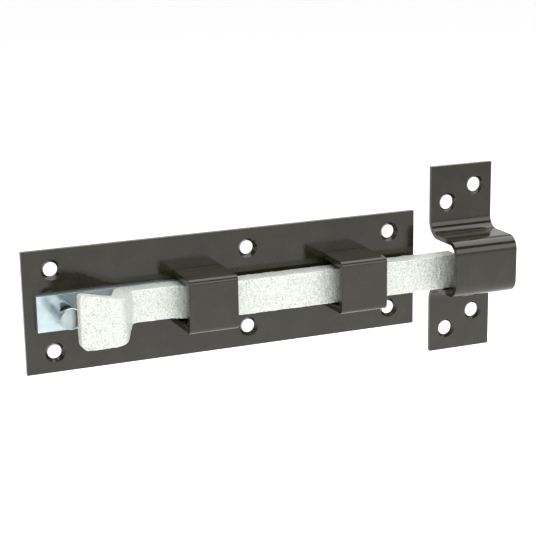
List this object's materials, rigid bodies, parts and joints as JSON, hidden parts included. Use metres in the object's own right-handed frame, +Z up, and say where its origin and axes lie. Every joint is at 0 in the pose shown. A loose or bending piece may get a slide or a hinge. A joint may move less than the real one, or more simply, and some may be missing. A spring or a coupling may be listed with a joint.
{
  "type": "padlock slide bolt",
  "caption": "Flat slide bolt in two strap guides on a back plate, with a bent handle tongue, a drilled padlock stud and a separate hat-shaped keeper.",
  "frame": {"origin": "centre of the back plate's back face, where it lies on the door", "axes": "+X is the way the bolt shoots, towards the keeper; -Y stands out from the door, so the door's surface is the plane y = 0; +Z is up across the plate"},
  "size_m": [0.2512, 0.0315, 0.099],
  "materials": {
    "black_enamel": "glossy black stoved enamel",
    "hammered_zinc": "bright zinc plate over a coarse forged surface",
    "smooth_zinc": "smooth blue-white zinc plate"
  },
  "bodies": {
    "fixed": {"back_plate": "black_enamel", "slide_strip": "smooth_zinc", "padlock_stud": "smooth_zinc", "guide_strap_left": "black_enamel", "guide_strap_right": "black_enamel", "keeper": "black_enamel"},
    "bolt": {"bolt_bar": "hammered_zinc"}
  },
  "joints": [
    {"name": "bolt_slide", "type": "slide", "parent": "fixed", "child": "bolt", "axis": [-1, 0, 0], "range_m": [0, 0.012]}
  ]
}
